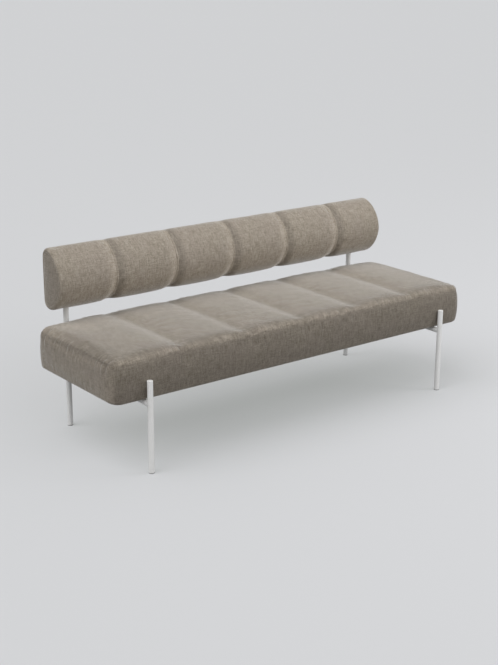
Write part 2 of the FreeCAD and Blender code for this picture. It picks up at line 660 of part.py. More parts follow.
def seat_form(offset):
    half = number(SEAT_HALF_LENGTH) - offset
    dome = number(S("seat_dome"))
    plan = number(S("seat_plan_radius"))
    top_share = number(S("seat_top_radius")) / plan
    bottom_share = number(S("seat_bottom_radius")) / plan
    depth_left = number(SEAT_HALF_DEPTH) - plan
    height_left = number(S("seat_thickness")) / 2 - number(S("seat_top_radius"))

    def section_of(x):
        return seat_section(x, 0, 0, 0, offset)

    def end_sections(sign):
        rounding = []
        for angle in ROUNDING_ANGLES:
            turn = math.radians(angle)
            x = half - dome - (plan - offset) * (1 - math.sin(turn))
            inset = (plan - offset) * (1 - math.cos(turn))
            rounding.append(seat_section(sign * x, inset, inset * top_share, inset * bottom_share, offset))
        ends = []
        for share in DOME_SHARES:
            x = half - dome * (1 - share) ** 2
            side = (plan - offset) + depth_left * share / 2
            down = height_left * share / 2
            top = (plan - offset) * top_share + down
            bottom = (plan - offset) * bottom_share + down
            ends.append(seat_section(sign * x, side, top, bottom, offset))
        return rounding, ends

    return cushion(section_of, end_sections)


def bolster_form(offset):
    half = number(BOLSTER_HALF_LENGTH) - offset
    dome = number(S("bolster_dome"))
    roll = number(S("bolster_end_radius")) - offset
    inward = (number(S("bolster_back_radius")) - number(S("bolster_end_radius"))) * 0.8

    def section_of(x):
        return bolster_section(x, 0, offset)

    def end_sections(sign):
        rounding = []
        for angle in ROUNDING_ANGLES:
            turn = math.radians(angle)
            x = half - dome - roll * (1 - math.sin(turn))
            rounding.append(bolster_section(sign * x, roll * (1 - math.cos(turn)), offset))
        ends = []
        for share in DOME_SHARES:
            x = half - dome * (1 - share) ** 2
            ends.append(bolster_section(sign * x, roll + inward * share, offset))
        return rounding, ends

    return cushion(section_of, end_sections)


def box_between(low, high):
    """a box from its lowest to its highest corner"""
    lowest = Vector(*[number(value) for value in low])
    sides = Vector(*[number(value) for value in high]) - lowest
    return Part.makeBox(sides.x, sides.y, sides.z, lowest)


def padded(label, shape, y, z):
    """a padded part from its finished shape, in its cushion's own frame"""
    feature = doc.addObject("Part::Feature", label)
    feature.Shape = shape
    return finish(place(feature, "0", y, z), label)


# Seat's padding: foam over the deck and down the sides of the timber frame, and the sewn cover, whose
# lower edge is turned in under the frame
BELOW = f"(-{S('cover_thickness')})"
DECK_TOP = f"({DECK_Z} + {S('deck_thickness')} - {S('seat_bottom')})"
base_space = box_between((f"-{BASE_HALF_LENGTH}", f"-{BASE_HALF_DEPTH}", BELOW),
                         (BASE_HALF_LENGTH, BASE_HALF_DEPTH, DECK_TOP))
padded("seat_foam", seat_form(number(FOAM_OFFSET)).cut(base_space), "0", S("seat_bottom"))

hem_opening = box_between((f"-{HEM_HALF_LENGTH}", f"-{HEM_HALF_DEPTH}", BELOW),
                          (HEM_HALF_LENGTH, HEM_HALF_DEPTH, f"2 * {S('cover_thickness')}"))
seat_inside = seat_form(number(S("cover_thickness")))
padded("seat_cover", seat_form(0).cut(seat_inside).cut(hem_opening), "0", S("seat_bottom"))

# Bolster's padding: foam in front of and round the board and the post blocks, and the sewn cover, with
# a hole below for each rear post
BOARD_TOP = f"({S('board_margin')} + {BOARD_HEIGHT})"
board_space = box_between((f"-{BOARD_HALF_LENGTH}", f"{BOARD_FRONT} - {BOLSTER_BACK}", S("board_margin")),
                          (BOARD_HALF_LENGTH, "0", BOARD_TOP))
bolster_foam = bolster_form(number(FOAM_OFFSET)).cut(board_space)
bolster_cover = bolster_form(0).cut(bolster_form(number(S("cover_thickness"))))
for sign in SIDES.values():
    middle_x = f"{sign} * {FRAME_X}"
    half_block = f"{S('block_width')} / 2"
    block_space = box_between(
        (f"{middle_x} - {half_block}", f"{BLOCK_FRONT} - {BOLSTER_BACK}", S("board_margin")),
        (f"{middle_x} + {half_block}", f"{BOARD_FRONT} - {BOLSTER_BACK}", BOARD_TOP))
    foot = Vector(number(middle_x), -number(POST_TO_BACK), -number(S("cover_thickness")))
    reach = number(S("board_margin")) + 2 * number(S("cover_thickness"))
    post_space = Part.makeCylinder(number(POST_HOLE) / 2, reach, foot)
    bolster_foam = bolster_foam.cut(block_space).cut(post_space)
    bolster_cover = bolster_cover.cut(post_space)
padded("bolster_foam", bolster_foam, BOLSTER_BACK, S("bolster_bottom"))
padded("bolster_cover", bolster_cover, BOLSTER_BACK, S("bolster_bottom"))

# Checks, then one file for each finished part
doc.recompute()
for thing in doc.Objects:
    if "Invalid" in thing.State or "Error" in thing.State:
        raise RuntimeError(f"{thing.Name} is {thing.State}")
    if thing.TypeId == "PartDesign::Pocket":
        if thing.Shape.Volume > thing.BaseFeature.Shape.Volume - 1:
            raise RuntimeError(f"{thing.Name} cuts nothing")
labels = [thing.Label for thing in finished]
if len(set(labels)) != len(labels):
    raise RuntimeError("two parts share a name")
os.makedirs("parts", exist_ok=True)
for thing in finished:
    if thing.Shape.isNull() or not thing.Shape.isValid():
        raise RuntimeError(f"{thing.Label} has no valid shape")
    thing.Shape.exportStep(f"parts/{thing.Label}.step")
    box = thing.Shape.BoundBox
    solids = len(thing.Shape.Solids)
    print(f"{thing.Label}: {solids} solid(s), {box.XLength:.1f} x {box.YLength:.1f} x {box.ZLength:.1f} mm")
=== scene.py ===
import math

import bpy
import numpy as np
from mathutils import Matrix, Vector


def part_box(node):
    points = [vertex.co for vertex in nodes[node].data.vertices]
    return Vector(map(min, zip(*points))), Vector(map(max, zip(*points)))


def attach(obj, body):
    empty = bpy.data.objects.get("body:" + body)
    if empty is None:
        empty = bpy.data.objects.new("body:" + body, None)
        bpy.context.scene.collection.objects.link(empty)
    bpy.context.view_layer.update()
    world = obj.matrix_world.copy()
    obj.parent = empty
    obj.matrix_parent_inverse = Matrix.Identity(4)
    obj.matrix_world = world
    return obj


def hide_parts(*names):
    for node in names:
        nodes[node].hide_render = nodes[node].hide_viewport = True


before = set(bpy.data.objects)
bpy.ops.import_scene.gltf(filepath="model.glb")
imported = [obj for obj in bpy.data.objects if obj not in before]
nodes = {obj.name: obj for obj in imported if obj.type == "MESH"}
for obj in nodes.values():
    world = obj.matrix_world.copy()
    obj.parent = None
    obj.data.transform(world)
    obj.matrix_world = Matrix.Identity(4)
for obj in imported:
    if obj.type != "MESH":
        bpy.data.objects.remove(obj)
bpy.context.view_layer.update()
SIDES = ("left", "right")


# Steel frame: four round steel tubes stand on the floor, and a round rail joins each front leg to the
# rear post behind it. The tubes are coped, welded, ground flush and powder coated white, with a low
# satin gloss and the faint unevenness of a baked coat.

class Signal:
    """one value in a finish, on which Python's arithmetic adds Math nodes"""

    def __init__(self, finish, socket):
        self.finish = finish
        self.socket = socket

    def maths(self, operation, first, second):
        return self.finish.maths(operation, first, second)

    def __add__(self, other):
        return self.maths("ADD", self, other)

    def __radd__(self, other):
        return self.maths("ADD", other, self)

    def __sub__(self, other):
        return self.maths("SUBTRACT", self, other)

    def __rsub__(self, other):
        return self.maths("SUBTRACT", other, self)

    def __mul__(self, other):
        return self.maths("MULTIPLY", self, other)

    def __rmul__(self, other):
        return self.maths("MULTIPLY", other, self)


class Finish:
    """a material, its nodes and the surface that they feed"""

    def __init__(self, name, **surface):
        self.material = bpy.data.materials.new(name)
        self.material.use_nodes = True
        self.tree = self.material.node_tree
        self.surface = self.tree.nodes["Principled BSDF"]
        for socket, value in surface.items():
            self.feed(self.surface, socket.replace("_", " ").title(), value)

    def feed(self, node, name, value):
        socket = next(socket for socket in node.inputs if socket.identifier == name)
        if isinstance(value, Signal):
            self.tree.links.new(value.socket, socket)
        else:
            socket.default_value = value

    def node(self, kind, settings, sockets):
        made = self.tree.nodes.new(kind)
        for name, value in settings.items():
            if name == "stops":
                ramp = made.color_ramp
                while len(ramp.elements) < len(value):
                    ramp.elements.new(0.5)
                for element, (position, colour) in zip(ramp.elements, value):
                    element.position = position
                    element.color = (*colour, 1)
            else:
                setattr(made, name, value)
        for name, value in sockets.items():
            self.feed(made, name, value)
        return {socket.identifier: Signal(self, socket) for socket in made.outputs}

    def place(self, scale=(1, 1, 1), uv=False):
        """metres on the piece, or on its cloth laid flat, stretched by scale"""
        coordinates = self.node("ShaderNodeTexCoord", {}, {})["UV" if uv else "Object"]
        return self.node("ShaderNodeMapping", {}, {"Vector": coordinates, "Scale": scale})["Vector"]

    def speckle(self, place, scale, detail=2.0, roughness=0.5):
        sockets = {"Vector": place, "Scale": scale, "Detail": detail, "Roughness": roughness}
        return self.node("ShaderNodeTexNoise", {}, sockets)["Fac"]

    def blend(self, share, first, second):
        sockets = {"Factor_Float": share, "A_Color": first, "B_Color": second}
        return self.node("ShaderNodeMix", {"data_type": "RGBA"}, sockets)["Result_Color"]

    def ramp(self, share, stops):
        return self.node("ShaderNodeValToRGB", {"stops": stops}, {"Fac": share})["Color"]

    def between(self, value, low, high, lowest=0.0, highest=1.0):
        sockets = {"Value": value, "From Min": low, "From Max": high, "To Min": lowest, "To Max": highest}
        return self.node("ShaderNodeMapRange", {"interpolation_type": "SMOOTHSTEP"}, sockets)["Result"]

    def colour(self, colour):
        self.feed(self.surface, "Base Color", colour)

    def roughness(self, value):
        self.feed(self.surface, "Roughness", value)

    def maths(self, operation, first, second=0.0):
        sockets = {"Value": first, "Value_001": second}
        return self.node("ShaderNodeMath", {"operation": operation}, sockets)["Value"]

    def bump(self, height, distance, strength=1.0):
        sockets = {"Height": height, "Distance": distance, "Strength": strength}
        normal = self.node("ShaderNodeBump", {}, sockets)["Normal"]
        self.feed(self.surface, "Normal", normal)

    def on(self, *names):
        for name in names:
            slots = nodes[name].data.materials
            slots.clear()
            slots.append(self.material)
            nodes[name].data.polygons.foreach_set("material_index", [0] * len(nodes[name].data.polygons))


def of_each_side(*stems):
    return [f"{stem}_{side}" for stem in stems for side in SIDES]


HANDLED_WHITE = (0.81, 0.81, 0.80)
CLEAN_WHITE = (0.85, 0.85, 0.845)
ORANGE_PEEL_PER_METRE = 420.0
ORANGE_PEEL_DEPTH = 0.00008
powder_coat = Finish("white_powder_coat", coat_weight=0.25, coat_roughness=0.18)
orange_peel = powder_coat.speckle(powder_coat.place(), ORANGE_PEEL_PER_METRE, 2.0)
handling = powder_coat.speckle(powder_coat.place(), 14.0, 3.0)
powder_coat.colour(powder_coat.ramp(handling, [(0.3, HANDLED_WHITE), (0.7, CLEAN_WHITE)]))
powder_coat.roughness(powder_coat.between(handling, 0.3, 0.7, 0.36, 0.44))
powder_coat.bump(orange_peel, ORANGE_PEEL_DEPTH)
powder_coat.on(*of_each_side("front_leg", "rear_post", "side_rail"))


# Caps and glides: a white plastic plug closes the top of each tube, proud of it by the thickness of its
# rim. A grey plastic glide is pushed into each foot and carries the sofa on the floor.

CAP_WHITE = (0.82, 0.82, 0.81)
CAP_GRAIN_PER_METRE = 900.0
CAP_GRAIN_DEPTH = 0.00006
cap_plastic = Finish("white_cap_plastic", coat_weight=0.1, coat_roughness=0.3)
cap_grain = cap_plastic.speckle(cap_plastic.place(), CAP_GRAIN_PER_METRE, 2.0)
cap_plastic.colour(cap_plastic.ramp(cap_grain, [(0.3, CAP_WHITE), (0.7, CLEAN_WHITE)]))
cap_plastic.roughness(cap_plastic.between(cap_grain, 0.3, 0.7, 0.38, 0.46))
cap_plastic.bump(cap_grain, CAP_GRAIN_DEPTH)
cap_plastic.on(*of_each_side("front_leg_cap", "rear_post_cap"))

GLIDE_GREY = (0.24, 0.24, 0.235)
SCUFFED_GREY = (0.31, 0.31, 0.305)
SCUFFS_PER_METRE = 300.0
SCUFF_DEPTH = 0.0001
glide_plastic = Finish("grey_glide_plastic")
scuffs = glide_plastic.speckle(glide_plastic.place((1, 1, 4)), SCUFFS_PER_METRE, 3.0)
glide_plastic.colour(glide_plastic.ramp(scuffs, [(0.35, GLIDE_GREY), (0.65, SCUFFED_GREY)]))
glide_plastic.roughness(glide_plastic.between(scuffs, 0.3, 0.7, 0.45, 0.6))
glide_plastic.bump(scuffs, SCUFF_DEPTH)
glide_plastic.on(*of_each_side("front_glide", "rear_glide"))


# Timber frame of the seat: planed softwood rails, glued and stapled, with triangular blocks in the
# corners. The two wide cross rails lie over the steel rails and take the bolts. All of it is inside.

EARLY_WOOD = ((0.52, 0.36, 0.20), (0.62, 0.45, 0.27))
LATE_WOOD = (0.42, 0.25, 0.12, 1)
WOOD_GRAIN_DEPTH = 0.0003


def softwood(name, grain):
    """planed softwood whose fibres run along the axis for which grain is small"""
    wood = Finish(name)
    place = wood.place(grain)
    waves = wood.node("ShaderNodeTexWave", {"wave_type": "BANDS", "bands_direction": "DIAGONAL"}, {
        "Vector": place, "Scale": 1.0, "Distortion": 3.5, "Detail": 2.0, "Detail Scale": 1.2})["Fac"]
    fibres = wood.speckle(place, 9.0, 4.0, 0.6)
    late_wood = wood.between(waves, 0.45, 0.95)
    early_wood = wood.ramp(fibres, [(0.3, EARLY_WOOD[0]), (0.7, EARLY_WOOD[1])])
    wood.colour(wood.blend(late_wood * 0.6, early_wood, LATE_WOOD))
    wood.roughness(wood.between(fibres, 0.3, 0.7, 0.6, 0.75))
    wood.bump(fibres + waves * 0.4, WOOD_GRAIN_DEPTH, 0.5)
    return wood


softwood("softwood_lengthways", (3, 60, 60)).on("base_front_rail", "base_back_rail")
crossways = softwood("softwood_crossways", (60, 3, 60))
crossways.on(*of_each_side("base_end_rail", "base_cross_rail", "base_inner_rail"))
crossways.on(*of_each_side("corner_block_front", "corner_block_back"))


# Deck and bolster board: birch plywood, 12 mm, sanded. The deck is stapled on the timber frame under
# the seat's foam. The board stands in the back of the bolster, and its plies show as lines at the edges.

BIRCH = ((0.55, 0.41, 0.26), (0.66, 0.52, 0.35))
CROSS_PLY = (0.40, 0.26, 0.14, 1)
VENEER_GRAIN_DEPTH = 0.0002


def plywood(name, plies, face_grain):
    """plies has the count of layers per metre along the sheet's thin direction"""
    sheet = Finish(name)
    veneer = sheet.speckle(sheet.place(face_grain), 7.0, 4.0, 0.6)
    layers = sheet.node("ShaderNodeTexWave", {"bands_direction": "DIAGONAL"}, {
        "Vector": sheet.place(plies), "Scale": 1.0, "Distortion": 0.0})["Fac"]
    face = sheet.ramp(veneer, [(0.3, BIRCH[0]), (0.7, BIRCH[1])])
    sheet.colour(sheet.blend(sheet.between(layers, 0.4, 0.6) * 0.35, face, CROSS_PLY))
    sheet.roughness(sheet.between(veneer, 0.3, 0.7, 0.55, 0.7))
    sheet.bump(veneer, VENEER_GRAIN_DEPTH, 0.4)
    return sheet


plywood("deck_plywood", (0, 0, 90), (4, 40, 4)).on("seat_deck")
plywood("board_plywood", (0, 90, 0), (4, 4, 40)).on("bolster_board")


# Seat: one long foam block on the deck, in a woven cover that is sewn with five channels across its top
# and pulled down over the timber frame. The foam fills each panel, so the seams lie in soft valleys
# that end where the cloth rolls over the front edge.

SEAM_PITCH = 0.3196
SEAMS = [(index - 2) * SEAM_PITCH for index in range(5)]
CLOTH_STEP = 0.0095
BESIDE_SEAM = (0, 0.002, 0.0045, 0.0075, 0.0115, 0.017, 0.025)
SWELL_FRAMES = 20


def panel_rise(x, fullness=3.7, rounding=0.0):
    """0 at a seam and 1 in the middle of a panel; an end panel stays full past its middle"""
    nearest = min(abs(x - seam) for seam in SEAMS)
    share = (math.hypot(nearest, rounding) - rounding) / SEAM_PITCH
    if abs(x) > SEAMS[-1]:
        share = min(share, 0.5)
    return 1 - abs(1 - 2 * share) ** fullness


def stations(end):
    """places along the sofa for the cloth's rows, closer together beside the seams"""
    places = set()
    for seam in SEAMS:
        for step in BESIDE_SEAM:
            places.update((round(seam - step, 5), round(seam + step, 5)))
    edges = [-end] + SEAMS + [end]
    for start, stop in zip(edges, edges[1:]):
        low = start + (BESIDE_SEAM[-1] if start != -end else 0)
        high = stop - (BESIDE_SEAM[-1] if stop != end else 0)
        count = math.ceil((high - low) / CLOTH_STEP)
        places.update(round(low + (high - low) * index / count, 5) for index in range(count + 1))
    return sorted(places)


def bowed(start, end, slope, count):
    """points from start up to end on a shallow curve that leaves the chord at that slope"""
    start, end = np.array(start), np.array(end)
    chord = end - start
    outward = np.array([chord[1], -chord[0]])
    shares = np.arange(count) / count
    return [start + chord * share + outward * slope * share * (1 - share) for share in shares]


def rolled(centre, radius, first, last, count):
    """points from first up to last, angles in radians, round a centre"""
    turns = [first + (last - first) * index / count for index in range(count)]
    return [np.array([centre[0] + radius * math.cos(turn), centre[1] + radius * math.sin(turn)])
            for turn in turns]


def filled_end(rim, across, up, x, dome):
    """a grid of points that closes a rim of 2 * (across + up) points, bowed outwards by dome"""
    bottom = rim[:across + 1]
    back = rim[across:across + up + 1]
    top = rim[across + up:2 * across + up + 1][::-1]
    front = np.vstack([rim[2 * across + up:], rim[:1]])[::-1]
    grid = np.zeros((across + 1, up + 1, 3))
    for i in range(across + 1):
        s = i / across
        for j in range(up + 1):
            t = j / up
            edges = (1 - t) * bottom[i] + t * top[i] + (1 - s) * front[j] + s * back[j]
            corners = ((1 - s) * (1 - t) * bottom[0] + s * (1 - t) * bottom[-1]
                       + (1 - s) * t * top[0] + s * t * top[-1])
            bow = dome * (1 - (2 * s - 1) ** 2) * (1 - (2 * t - 1) ** 2)
            grid[i, j] = (x + math.copysign(bow, x), *(edges - corners))
    return grid


def cushion(name, rings, across, up, dome):
    """a closed cloth form from rings of points along the sofa, with the cloth's flat place as its UV map"""
    count = 2 * (across + up)
    points = [tuple(point) for ring in rings for point in ring]
    faces = []
    flat = []
    lengths = [np.linalg.norm(np.roll(ring, -1, 0) - ring, axis=1) for ring in rings]
    middle = lengths[len(rings) // 2]
    round_place = np.concatenate([[0], np.cumsum(middle)])
    along_place = [0.0]
    for before, after in zip(rings, rings[1:]):
        along_place.append(along_place[-1] + np.linalg.norm(after - before, axis=1).max())
    centre = len(rings) // 2
    along_place = np.array(along_place) - along_place[centre] + rings[centre][0][0]
    for row in range(len(rings) - 1):
        for index in range(count):
            after = (index + 1) % count
            faces.append((row * count + index, row * count + after,
                          (row + 1) * count + after, (row + 1) * count + index))
            low, high = along_place[row], along_place[row + 1]
            near, far = round_place[index], round_place[index + 1]
            flat += [(low, near), (low, far), (high, far), (high, near)]
    for row in (0, len(rings) - 1):
        ring = np.array(rings[row])
        grid = filled_end(ring[:, 1:], across, up, ring[0][0], dome)
        numbers = np.zeros((across + 1, up + 1), int)
        for i in range(across + 1):
            for j in range(up + 1):
                if j == 0:
                    numbers[i, j] = row * count + i
                elif i == across:
                    numbers[i, j] = row * count + across + j
                elif j == up:
                    numbers[i, j] = row * count + 2 * across + up - i
                elif i == 0:
                    numbers[i, j] = row * count + (2 * (across + up) - j) % count
                else:
                    numbers[i, j] = len(points)
                    points.append(tuple(grid[i, j]))
        for i in range(across):
            for j in range(up):
                corners = [(i, j), (i + 1, j), (i + 1, j + 1), (i, j + 1)]
                if row == 0:
                    corners.reverse()
                faces.append(tuple(numbers[corner] for corner in corners))
                flat += [(grid[corner][1], grid[corner][2]) for corner in corners]
    mesh = bpy.data.meshes.new(name)
    mesh.from_pydata(points, [], faces)
    cloth_place = mesh.uv_layers.new(name="cloth")
    cloth_place.data.foreach_set("uv", np.array(flat, float).ravel())
    mesh.validate()
    piece = bpy.data.objects.new(name, mesh)
    bpy.context.collection.objects.link(piece)
    return piece


def places_of(mesh):
    found = np.zeros(len(mesh.vertices) * 3)
    mesh.vertices.foreach_get("co", found)
    return found.reshape(-1, 3)


def normals_of(mesh):
    found = np.zeros(len(mesh.vertices) * 3)
    mesh.vertices.foreach_get("normal", found)
    return found.reshape(-1, 3)


def swell(piece, held, pressure, slack, reach):
    """the foam pushes the cloth out between its seams; no point moves further than reach"""
    start = places_of(piece.data)
    group = piece.vertex_groups.new(name="held")
    for index, weight in enumerate(held):
        if weight > 0:
            group.add([index], float(weight), "REPLACE")
    cloth = piece.modifiers.new("swell", "CLOTH")
    cloth.settings.quality = 6
    cloth.settings.mass = 0.4
    cloth.settings.tension_stiffness = 20
    cloth.settings.compression_stiffness = 10
    cloth.settings.shear_stiffness = 5
    cloth.settings.bending_stiffness = 0.3
    cloth.settings.vertex_group_mass = "held"
    cloth.settings.shrink_min = -slack
    cloth.settings.use_pressure = True
    cloth.settings.uniform_pressure_force = pressure
    cloth.settings.effector_weights.gravity = 0
    cloth.collision_settings.use_collision = False
    cloth.point_cache.frame_start = 1
    cloth.point_cache.frame_end = SWELL_FRAMES
    for step in range(1, SWELL_FRAMES + 1):
        bpy.context.scene.frame_set(step)
    settled = piece.evaluated_get(bpy.context.evaluated_depsgraph_get()).data
    move = places_of(settled) - start
    length = np.linalg.norm(move, axis=1, keepdims=True)
    move *= reach * np.tanh(length / reach) / np.maximum(length, 1e-9)
    piece.modifiers.remove(cloth)
    piece.vertex_groups.clear()
    bpy.context.scene.frame_set(1)
    piece.data.vertices.foreach_set("co", (start + move).ravel())


def subdivided(piece):
    """one level of smooth subdivision, applied"""
    modifier = piece.modifiers.new("finer", "SUBSURF")
    modifier.levels = 1
    modifier.render_levels = 1
    bpy.ops.object.select_all(action="DESELECT")
    piece.select_set(True)
    bpy.context.view_layer.objects.active = piece
    bpy.ops.object.modifier_apply(modifier=modifier.name)
    bpy.ops.object.shade_smooth()


SCATTER = (374761393, 668265263, 1442695041)


def ripple(x, y, z):
    """smooth random waves about one unit long, from -1 to 1; each whole place has its own scattered height"""
    place = np.stack(np.broadcast_arrays(x, y, z), axis=-1).astype(float)
    cell = np.floor(place).astype(np.int64)
    share = place - cell
    share = share * share * (3 - 2 * share)
    total = np.zeros(place.shape[:-1])
    for corner in np.ndindex(2, 2, 2):
        spot = cell + np.array(corner)
        mixed = spot[..., 0] * SCATTER[0] + spot[..., 1] * SCATTER[1] + spot[..., 2] * SCATTER[2]
        mixed = (mixed ^ (mixed >> 13)) * 1274126177
        height = ((mixed ^ (mixed >> 16)) & 65535) / 32767.5 - 1
        total += height * np.prod(np.where(corner, share, 1 - share), axis=-1)
    return total


seat_low, seat_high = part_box("seat_cover")
SEAT_BULGE = 0.010
SEAT_CROWN = 0.004
SEAT_PUFF_EDGE = 0.007
SEAT_PUFF_MIDDLE = 0.003
SEAT_SEAM_ROUNDING = 0.014
SEAT_DROOP = 0.017
SEAT_DROOP_LENGTH = 0.3
SEAT_TOP_ROLL = 0.024
SEAT_BOTTOM_ROLL = 0.015
SEAT_PLAN_ROLL = 0.050
SEAT_DOME = 0.005
SEAT_ACROSS_STEPS = 56
SEAT_SIDE_STEPS = 14
ROLL_STEPS = 6
seat_half_length = seat_high.x
seat_half_depth = seat_high.y - SEAT_BULGE
seat_seam_height = seat_high.z - SEAT_CROWN - SEAT_PUFF_EDGE - SEAT_PUFF_MIDDLE


def seat_ring(x, inset=0.0):
    """the seat's cover across its length, from the middle of the front bottom edge round to it again"""
    rise = panel_rise(x, 3.2, SEAT_SEAM_ROUNDING)
    droop = max(0.0, abs(x) - seat_half_length + SEAT_DROOP_LENGTH) / SEAT_DROOP_LENGTH
    top = seat_seam_height + SEAT_PUFF_EDGE * rise - SEAT_DROOP * droop ** 2
    top -= inset * SEAT_TOP_ROLL / SEAT_PLAN_ROLL
    bottom = seat_low.z + inset * SEAT_BOTTOM_ROLL / SEAT_PLAN_ROLL
    half = seat_half_depth - inset
    crown = SEAT_CROWN + SEAT_PUFF_MIDDLE * rise
    side_slope = 4 * SEAT_BULGE / (top - bottom)
    top_slope = 4 * crown / (2 * half)
    side_turn = math.atan(side_slope)
    top_turn = math.atan(top_slope)
    low_centre = (half - SEAT_BOTTOM_ROLL, bottom + SEAT_BOTTOM_ROLL)
    high_centre = (half - SEAT_TOP_ROLL, top - SEAT_TOP_ROLL)
    low = rolled(low_centre, SEAT_BOTTOM_ROLL, -math.pi / 2, -side_turn, ROLL_STEPS)
    high = rolled(high_centre, SEAT_TOP_ROLL, side_turn, math.pi / 2 - top_turn, ROLL_STEPS)
    low_end = np.array(low_centre) + SEAT_BOTTOM_ROLL * np.array([math.cos(side_turn), -math.sin(side_turn)])
    high_end = np.array(high_centre) + SEAT_TOP_ROLL * np.array([math.sin(top_turn), math.cos(top_turn)])
    side = bowed(low_end, high[0], side_slope, SEAT_SIDE_STEPS)
    back = low + side + high
    front = [np.array([-point[0], point[1]]) for point in back + [high_end]][::-1]
    under = bowed((-low[0][0], bottom), low[0], 0.0, SEAT_ACROSS_STEPS)
    over = bowed(high_end, front[0], top_slope, SEAT_ACROSS_STEPS)
    ring = under + back + over + front[:-1]
    half_roll = ROLL_STEPS // 2
    ring = ring[-half_roll:] + ring[:-half_roll]
    return np.array([(x, *point) for point in ring])


def rounded_rings(ring_at, end, roll, dome, steps=7, sewn=()):
    """rings from one end to the other, drawn in over the roll at each end; sewn has further rings on the
    end's face, each with its inset past the roll and its depth"""
    flat = [(x, 0.0) for x in stations(end - dome - roll)]
    curve = []
    for index in range(1, steps + 1):
        turn = math.pi / 2 * index / steps
        curve.append((end - dome - roll * (1 - math.sin(turn)), roll * (1 - math.cos(turn))))
    curve += [(end - dome - depth, roll + inset) for inset, depth in sewn]
    places = [(-x, inset) for x, inset in reversed(curve)] + flat + curve
    return [ring_at(x, inset) for x, inset in places]


def from_seam(x):
    """signed distance along the sofa from the nearest seam"""
    nearest = np.clip(np.round(x / SEAM_PITCH), -2, 2)
    return x - nearest * SEAM_PITCH


def soft_step(value, low, high):
    share = np.clip((value - low) / (high - low), 0.0, 1.0)
    return share * share * (3 - 2 * share)


def bell(value, width):
    return np.exp(-(value / width) ** 2)


def worked(piece, heights_at):
    """moves the cloth along its normals by the heights at its places"""
    places = places_of(piece.data)
    normals = normals_of(piece.data)
    heights = heights_at(places, normals)
    piece.data.vertices.foreach_set("co", (places + normals * heights[:, None]).ravel())
    piece.data.update()


def marked(piece, name, value_at):
    """writes a value at each place of the cloth, under a name"""
    mark = piece.data.attributes.new(name, "FLOAT", "POINT")
    mark.data.foreach_set("value", value_at(places_of(piece.data), normals_of(piece.data)))


def marks_of(piece, name):
    found = np.zeros(len(piece.data.vertices))
    piece.data.attributes[name].data.foreach_get("value", found)
    return found


seat_rings = rounded_rings(seat_ring, seat_half_length, SEAT_PLAN_ROLL, SEAT_DOME)
seat_cushion = cushion("seat_cushion", seat_rings, SEAT_ACROSS_STEPS + ROLL_STEPS,
                       SEAT_SIDE_STEPS + ROLL_STEPS, SEAT_DOME)


def seat_hold(places, normals):
    """the timber frame holds the underside, and each seam's twine the top"""
    under = 1 - soft_step(places[:, 2], seat_low.z + 0.002, seat_low.z + 0.05)
    tied = (1 - soft_step(abs(from_seam(places[:, 0])), 0.001, 0.030)) * soft_step(normals[:, 2], 0.6, 0.95)
    return np.maximum(np.maximum(under, tied), 0.02)


RIM_SEAM_SIDE = 0.26
RIM_SEAM_END = 0.62


def from_rim(places, normals):
    """distance up from the seam that runs round the rolled top edge, low on the long sides"""
    endwards = soft_step(abs(normals[:, 0]), 0.35, 0.75)
    seam = RIM_SEAM_SIDE + (RIM_SEAM_END - RIM_SEAM_SIDE) * endwards
    turned = (np.arcsin(np.clip(normals[:, 2], -1, 1)) - np.arcsin(seam)) * SEAT_TOP_ROLL
    dropped = np.minimum(places[:, 2] - seat_seam_height + 0.45 * SEAT_TOP_ROLL, 0)
    return np.where(turned < -0.004, np.minimum(turned, dropped), turned)


marked(seat_cushion, "rim", from_rim)
held = seat_hold(places_of(seat_cushion.data), normals_of(seat_cushion.data))
swell(seat_cushion, held, pressure=0.5, slack=0.003, reach=0.004)
subdivided(seat_cushion)


PLEATS_PER_METRE = 62
FINE_PLEATS_PER_METRE = 130
PLEAT_DROP = 0.070
PLEAT_RUN = 0.036


def rim_pleats(places, normals):
    """how high the cloth stands where it is gathered at the rim's seam and hangs from it, near -1 to 1"""
    x, y, z = places.T
    faces_front = abs(normals[:, 1]) > abs(normals[:, 0])
    along = np.where(faces_front, x, y)
    rim = marks_of(seat_cushion, "rim")
    fold = ripple(along * PLEATS_PER_METRE, z * 8, faces_front)
    fold += 0.7 * ripple(along * FINE_PLEATS_PER_METRE, z * 12, 5 + faces_front)
    uneven = np.maximum(0.75 + 0.5 * ripple(along * 9, 0, 3.5), 0.15)
    below = soft_step(-rim, 0.0, 0.006) * (1 - soft_step(-rim, 0.012, PLEAT_DROP))
    above = soft_step(rim, 0.0, 0.005) * (1 - soft_step(rim, 0.010, PLEAT_RUN))
    inward = np.minimum(seat_half_depth - abs(y), seat_half_length - abs(x))
    return fold * uneven * (below + 0.9 * above * (1 - soft_step(inward, 0.01, 0.10)))


PUCKER_HEIGHT = 0.0013
WAVE_HEIGHT = 0.0005
PLEAT_HEIGHT = 0.0040
RIM_GROOVE = 0.0018
RIB_HEIGHT = 0.0008
WIDE_RIB_HEIGHT = 0.0009


